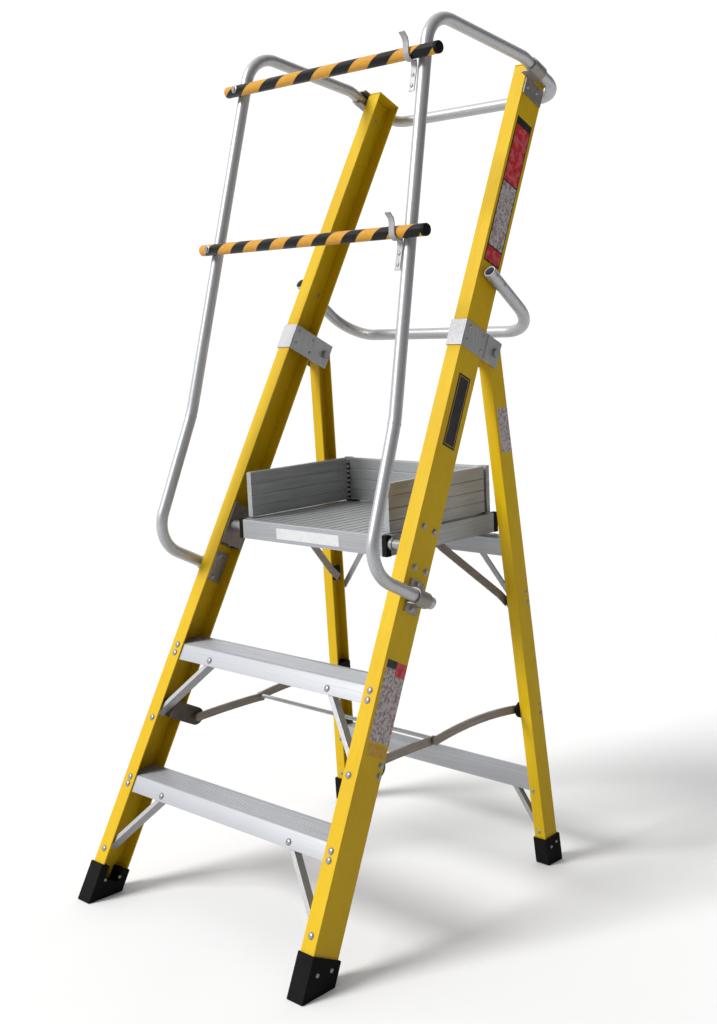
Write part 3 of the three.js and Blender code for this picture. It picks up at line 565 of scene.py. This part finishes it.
def handrails():
    """Side rail tubes, each with a thin collar where two lengths of tube meet at the bend."""
    kink = (RAIL_Y0 + RAIL_SLOPE * KINK_Z, KINK_Z)
    top = (RAIL_TOP_Y, (RAIL_TOP_Y - RAIL_Y0) / RAIL_SLOPE)
    corners = [
        (TUBE_OFFSET, RAIL_LOW_END, LOWER_CLAMP_S, 0), (TUBE_OFFSET, RAIL_ELBOW, LOWER_CLAMP_S, 85),
        (TUBE_OFFSET, *to_front(*kink), 260), (TUBE_OFFSET, *to_front(*top), 80),
        (TUBE_OFFSET, RAIL_SHOULDER, TOP_RAIL_S, 60), (TUBE_OFFSET, RAIL_BUTT, TOP_RAIL_S, 0)]
    for side, word in SIDES:
        path = bent_path(corners, lambda a, d, s, side=side: on_front(a, d, s, side))
        build = Build().sweep(path, TUBE_RADIUS, wall=TUBE_WALL, bore=45)
        name = "handrail_tube_" + word
        piece(name, build, TUBING, "front_frame", 0, ["handrail_" + word])
        low, high = min(zip(path, path[1:]), key=lambda pair: abs(pair[0].z - KINK_Z * MM))
        sunk, proud = TUBE_RADIUS - 0.6, TUBE_RADIUS + 0.9
        collar = Build().lathe(
            low, high - low, [(sunk, -2.6), (proud, -2), (proud, 2), (sunk, 2.6)], 32)
        piece("handrail_joint_collar_" + word, collar, TUBING, "front_frame")


def top_and_mid_rails():
    """The two U-shaped rails behind the person, and the middle rail's spacers and bolts."""
    x = FRONT_HALF_WIDTH - FRONT_SPLAY * TOP_RAIL_S + TUBE_OFFSET
    start = RAIL_BUTT + 1
    corners = [
        (x, start, TOP_RAIL_S, 0), (x, TOP_RAIL_BACK, TOP_RAIL_S, 66),
        (-x, TOP_RAIL_BACK, TOP_RAIL_S, 66), (-x, start, TOP_RAIL_S, 0)]
    build = Build().sweep(bent_path(corners, front_plane), TUBE_RADIUS, wall=TUBE_WALL, bore=20)
    piece("top_rail_tube", build, TUBING, "front_frame", 0, ["top_rail"])

    x = FRONT_HALF_WIDTH - FRONT_SPLAY * MID_RAIL_S + TUBE_OFFSET

    def drop(depth):
        return MID_RAIL_S - MID_RAIL_DROP * (depth - MID_RAIL_END)

    end, back = MID_RAIL_END, MID_RAIL_BACK
    corners = [
        (x, end, drop(end), 0), (x, back, drop(back), 95),
        (-x, back, drop(back), 95), (-x, end, drop(end), 0)]
    build = Build().sweep(bent_path(corners, front_plane), TUBE_RADIUS, wall=TUBE_WALL, bore=70)
    piece("mid_rail_tube", build, TUBING, "front_frame", 0, ["mid_rail"])
    spacers = Build()
    heads = Build()
    for side in (-1, 1):
        for depth in (30, 64):
            s = drop(depth)
            start = on_front(0.9, depth, s, side)
            spacers.lathe(start, Vector((side, 0, 0)), [(8, 0), (8, 9), (6.5, 12), (0.02, 12)])
            heads.dome(on_front(-WALL, depth, s, side), Vector((-side, 0, 0)), 5.5, 3)
            outside = on_front(TUBE_OFFSET + TUBE_RADIUS - 0.6, depth, s, side)
            heads.dome(outside, Vector((side, 0, 0)), 4, 2.4)
    piece("mid_rail_spacers", spacers, STEEL, "front_frame")
    piece("mid_rail_bolts", heads, STEEL, "front_frame")


def gate_bars():
    """Striped sleeve, end plug and pivot bolt of each gate bar."""
    for bar, word, skin in ((UPPER_BAR, "upper", UPPER_STRIPE), (LOWER_BAR, "lower", LOWER_STRIPE)):
        left = at(bar["left"], bar["y"], bar["z"])
        right = at(bar["right"], bar["y"], bar["z"])
        length = bar["right"] - bar["left"]
        r = BAR_RADIUS
        build = Build().lathe(left, right - left, [
            (r - 3, 0), (r - 0.8, 0.6), (r, 2.5), (r, length - 9)], 40)
        name = "gate_bar_sleeve_" + word
        piece(name, build, skin, "gate_" + word, 0, ["gate_bar_" + word])
        build = Build().lathe(right, left - right, [
            (r - 3.4, 0), (r - 1, 0.7), (r, 2.6), (r, 8.6), (0.02, 8.6)], 40)
        piece("gate_bar_plug_" + word, build, BLACK_PLASTIC, "gate_" + word)
        forward = Vector((0, -1, bar["rise"])).normalized()
        centre = at(bar["pivot"], bar["y"], bar["z"])
        build = Build().bolt(centre + forward * (r - 0.5) * MM, forward, 6.5, 3.2)
        build.lathe(centre - forward * (r - 0.5) * MM, -forward, [(5, 0), (5, 3.0), (0.02, 3.0)])
        piece("gate_bar_pivot_bolt_" + word, build, STEEL, "gate_" + word)


def gate_hook_details():
    """The two rivets that hold each hook's strap to the right handrail."""
    norm = math.hypot(1, RAIL_SLOPE)
    outward = Vector((0, -1, RAIL_SLOPE)).normalized()
    for bar, word in ((UPPER_BAR, "upper"), (LOWER_BAR, "lower")):
        web = FRONT_HALF_WIDTH + TUBE_OFFSET - HOOK_TAPER * bar["z"]
        spots = []
        for below in (70, 46):
            z = bar["z"] - below
            y = RAIL_Y0 + RAIL_SLOPE * z - (TUBE_RADIUS + 0.4 + HOOK_STRAP) * norm
            spots.append((at(web, y, z), outward))
        rivets("gate_hook_rivets_" + word, spots, (4.2, 2.2))


# ---------------------------------------------------------------- fixings

def rivets(name, spots, head=LARGE_RIVET, body="front_frame"):
    """One piece of domed rivets; spots are (point, normal) or (point, normal, head)."""
    build = Build()
    for point, normal, *own in spots:
        build.dome(point, normal, *(own[0] if own else head))
    piece(name, build, STEEL, body)


def bolts(name, spots, radius):
    """One piece of washered bolts on the front frame; spots are (point, normal)."""
    build = Build()
    for point, normal in spots:
        build.bolt(point, normal, radius, 3)
    piece(name, build, STEEL, "front_frame")


def front_stile_fixings(side, word):
    """Rivets and bolts of the treads, platform bracket, stay block and hinge bracket."""
    out = Vector((side, 0, 0))
    flange = [
        (on_front(-22.5, 0, s, side), FRONT_OUT)
        for s in (TREAD_RIVETS_LEFT_S if side < 0 else TREAD_RIVETS_RIGHT_S)]
    flange += [(on_front(-21, 0, 134, side), FRONT_OUT), (on_front(-25, 0, 474, side), FRONT_OUT)]
    rivets("front_flange_rivets_" + word, flange)
    web = [(on_front(0, d, s, side), out) for d, s in PLATFORM_BRACKET_BOLTS + STAY_BLOCK_BOLTS]
    bolts("front_web_bolts_" + word, web, 5.4)
    nuts = [(on_front(-WALL - GAP - 3, d, s, side), -out) for d, s in PLATFORM_BRACKET_BOLTS]
    rivets("platform_bracket_nuts_" + word, nuts, (5, 3))
    ears = []
    for d, s in HINGE_BRACKET_RIVETS:
        ears.append((on_front(GAP + 3, d, s, side), out))
        ears.append((on_front(-FRONT_FLANGE - GAP - 3, d, s, side), -out))
    rivets("hinge_bracket_rivets_" + word, ears, SMALL_RIVET)


def rail_clamp_fixings(side, word):
    """Bolts and rivets of both rail clamps, and the lower clamp's backing plate."""
    out = Vector((side, 0, 0))
    build = Build()
    for s in LOWER_CLAMP_BOLTS_S:
        build.bolt(on_front(GAP + 3.5, 42, s, side), out, 5, 3)
    for d, s in TOP_CLAMP_RIVETS:
        build.dome(on_front(GAP + 3.5, d, s, side), out, 5.2, 2.6)
        build.dome(on_front(-WALL, d, s, side), -out, 5.2, 2.6)
    piece("rail_clamp_bolts_" + word, build, STEEL, "front_frame")
    thickness = 3
    face = -WALL - GAP
    corners = panel(on_front, face, (20, 72), (850, 930), side)
    plate = Build().slab(corners, -out * thickness * MM)
    name = "handrail_backing_plate_" + word
    piece(name, plate, CLAMP_METAL, "front_frame", 0.5)
    nuts = [(on_front(face - thickness, 46, s, side), -out) for s in LOWER_CLAMP_BOLTS_S]
    bolts("handrail_backing_nuts_" + word, nuts, 5)


def front_stile_ends(side, word):
    """Rivets through the boot, and the flat cap on the stile's top end."""
    out = Vector((side, 0, 0))
    boot = []
    for d, s in ((20, 62), (60, 76)):
        boot.append((on_front(5, d, s, side), out, (5, 2)))
        boot.append((on_front(-FRONT_FLANGE - 2, d, s, side), -out, (4, 1.5)))
    rivets("front_foot_rivets_" + word, boot)
    overlap = 0.8
    x0, x1 = -FRONT_FLANGE - overlap, -0.2
    d0, d1 = -overlap, FRONT_DEPTH + overlap
    corners = [
        on_front(a, d, FRONT_TOP + 0.2, side) for a, d in ((x0, d0), (x1, d0), (x1, d1), (x0, d1))]
    cap = Build().slab(corners, FRONT_UP * 2.6 * MM)
    piece("front_stile_end_cap_" + word, cap, FRP_FRONT, "front_frame", 0.6)


def front_fixings():
    """Every fixing of the front frame, and the rivets in the treads' front faces."""
    for side, word in SIDES:
        front_stile_fixings(side, word)
        rail_clamp_fixings(side, word)
        front_stile_ends(side, word)
    for word, half, s in (("lower", 228, 299), ("upper", 208, 645)):
        spots = [(front_plane(side * half, WALL + GAP, s), FRONT_OUT) for side in (-1, 1)]
        rivets("tread_rivets_" + word, spots)


def rear_fixings():
    """Rivets of the rear stiles, and the clips that hold the platform struts' feet."""
    for side, word in SIDES:
        out = Vector((side, 0, 0))

        def on_face(x, depth, s):
            return on_rear(x - (REAR_HALF_WIDTH - REAR_SPLAY * s), depth, s, side)

        spots = [(on_rear(0, 40, s, side), out, (4.6, 2.6)) for s in (704, 678, 413, 391)]
        for x, s in ((345, 193), (355, 85)):
            spots.append((on_face(x, 0, s), -REAR_OUT, (5.2, 2.8)))
            spots.append((on_face(x, REAR_DEPTH, s), REAR_OUT, (5.2, 2.8)))
        for x, s in ((166, 834), (311, 650)):
            spots.append((on_face(x, REAR_DEPTH + 2.3, s), REAR_OUT, (3.8, 2.4)))
        for d, s in ((14, 44), (36, 50)):
            spots.append((on_rear(5, d, s, side), out, (4, 1.8)))
        rivets("rear_stile_rivets_" + word, spots, body="rear_frame")
        clip = Build().block(across(side, 303, 314), (836, 859), (668, 708))
        piece("strut_clip_" + word, clip, BLACK_PLASTIC, "rear_frame", 2)


# ---------------------------------------------------------------- platform

def platform_details():
    """Blank front plate, rear corner caps and the side toe boards' corner hinges."""
    front = (DECK_FRONT - 0.5, DECK_FRONT + 0.1)
    plate = Build().block((-117, 102), front, (861, 888))
    piece("fascia_plate", plate, LABEL_PALE, "platform")
    knuckles = 8
    pitch = (TOE_TOP - TOE_BOTTOM - 12) / knuckles
    barrel = 0.35 * pitch
    profile = [(4.2, 0), (5, 0.8), (5, barrel), (4.2, barrel + 0.8), (0.02, barrel + 0.8)]
    for side, word in SIDES:
        cap = Build().block(
            across(side, DECK_HALF - 13, DECK_HALF + 1.2), (DECK_REAR - 13, DECK_REAR + 1.2),
            (DECK_TOP - 49, DECK_TOP + 1))
        piece("rear_corner_cap_" + word, cap, BLACK_PLASTIC, "platform", 1.2)
        hinge = Build()
        for i in range(knuckles):
            base = at(side * TOE_HINGE[0], TOE_HINGE[1], TOE_BOTTOM + 5 + i * pitch)
            hinge.lathe(base, Vector((0, 0, 1)), profile)
        piece("toe_hinge_knuckles_" + word, hinge, BLACK_PLASTIC, "platform")
        foot = Build().block(across(side, 205, 240), (832, 851), (DECK_TOP + 0.3, DECK_TOP + 3))
        piece("toe_hinge_foot_" + word, foot, BLACK_PLASTIC, "platform", 0.6)


# ---------------------------------------------------------------- labels

def web_label(name, depths, ups, material, body="front_frame", place=on_front, lift=0.02, thick=0.35):
    """Thin sticker on the outer face of a right-hand stile."""
    build = Build().slab(panel(place, lift, depths, ups), Vector((thick * MM, 0, 0)))
    piece(name, build, material, body)


def labels():
    """Plain stickers in place of the printed ones: colour blocks with no lettering."""
    web_label("upper_label_border", (8, 68), (1712, 2098), LABEL_BLACK)
    for name, ups, material in (
            ("upper_label_header", (1928, 2078), LABEL_RED),
            ("upper_label_panel", (1755, 1924), LABEL_GREY),
            ("upper_label_footer", (1716, 1751), LABEL_RED)):
        web_label(name, (11, 65), ups, material, lift=0.4, thick=0.3)
    web_label("black_plate", (19, 62), (1247, 1426), LABEL_BLACK)
    line = Build()
    for depths, ups in (
            ((23, 24.5), (1252, 1421)), ((56.5, 58), (1252, 1421)),
            ((24.5, 56.5), (1252, 1253.5)), ((24.5, 56.5), (1419.5, 1421))):
        line.slab(panel(on_front, 0.4, depths, ups), Vector((0.2 * MM, 0, 0)))
    piece("black_plate_line", line, LABEL_GOLD, "front_frame")
    web_label("lower_label_left", (10, 42), (558, 722), LABEL_GREY)
    web_label("lower_label_left_header", (10, 42), (722.4, 740), LABEL_BLACK)
    web_label("lower_label_right", (42.4, 77), (558, 708), LABEL_GREY)
    web_label("lower_label_right_header", (42.4, 77), (708.4, 740), LABEL_RED)
    web_label("lower_label_strip", (14, 74), (526, 553), LABEL_GOLD)
    web_label("rear_stile_label", (8, 46), (1058, 1167), LABEL_GREY, "rear_frame", on_rear)


# ---------------------------------------------------------------- stage

def studio():
    """Pale floor, a sky that is brighter on one side and behind, and one wide soft key light."""
    floor = bpy.data.objects.new("floor", bpy.data.meshes.new("floor"))
    bm = bmesh.new()
    bmesh.ops.create_grid(bm, x_segments=1, y_segments=1, size=40)
    bm.to_mesh(floor.data)
    bm.free()
    bpy.context.scene.collection.objects.link(floor)
    floor.location.z = -0.0005
    s = Shader("floor_paper", 0.85)
    patch = s.noise(1.5, 3)
    s.colour(s.mix(s.remap(patch, 0.3, 0.7, 0, 1), (0.72, 0.72, 0.72), (0.7, 0.7, 0.7)))
    floor.data.materials.append(s.material)

    world = bpy.data.worlds.new("studio")
    bpy.context.scene.world = world
    world.use_nodes = True
    tree = world.node_tree
    sky = tree.nodes["Background"]
    coord = tree.nodes.new("ShaderNodeTexCoord")
    total = None
    for direction, *values in SKY_RAMPS:
        facing = tree.nodes.new("ShaderNodeVectorMath")
        facing.operation = "DOT_PRODUCT"
        facing.inputs[1].default_value = direction
        tree.links.new(coord.outputs["Generated"], facing.inputs[0])
        ramp = tree.nodes.new("ShaderNodeMapRange")
        for i, v in enumerate(values):
            ramp.inputs[i + 1].default_value = v
        tree.links.new(facing.outputs["Value"], ramp.inputs[0])
        if total is None:
            total = ramp.outputs[0]
            continue
        add = tree.nodes.new("ShaderNodeMath")
        tree.links.new(total, add.inputs[0])
        tree.links.new(ramp.outputs[0], add.inputs[1])
        total = add.outputs[0]
    tree.links.new(total, sky.inputs["Strength"])
    sky.inputs["Color"].default_value = (1, 1, 1, 1)

    data = bpy.data.lights.new("key", "SUN")
    data.energy = KEY_STRENGTH
    data.angle = math.radians(22)
    lamp = bpy.data.objects.new("key", data)
    lamp.rotation_euler = Vector(KEY_FROM).to_track_quat("Z", "Y").to_euler()
    bpy.context.scene.collection.objects.link(lamp)


def camera():
    """Camera at the viewpoint above, turned by yaw, pitch and roll."""
    data = bpy.data.cameras.new("camera")
    cam = bpy.data.objects.new("camera", data)
    bpy.context.scene.collection.objects.link(cam)
    cy, sy = math.cos(CAMERA_YAW), math.sin(CAMERA_YAW)
    cp, sp = math.cos(CAMERA_PITCH), math.sin(CAMERA_PITCH)
    forward = Vector((-sy * cp, cy * cp, -sp))
    right = forward.cross(Vector((0, 0, 1))).normalized()
    up = right.cross(forward)
    cr, sr = math.cos(CAMERA_ROLL), math.sin(CAMERA_ROLL)
    right, up = right * cr + up * sr, up * cr - right * sr
    matrix = Matrix((right, up, -forward)).transposed().to_4x4()
    matrix.translation = at(*CAMERA_AT)
    cam.matrix_world = matrix
    data.sensor_fit = "VERTICAL"
    data.sensor_height = SENSOR
    data.sensor_width = SENSOR
    data.lens = CAMERA_LENS
    data.clip_start = 0.05
    data.clip_end = 200
    bpy.context.scene.camera = cam


bpy.context.scene.view_settings.view_transform = "Standard"
handrails()
top_and_mid_rails()
gate_bars()
gate_hook_details()
front_fixings()
rear_fixings()
platform_details()
labels()
dress_cad_nodes()
studio()
camera()

bpy.context.view_layer.update()
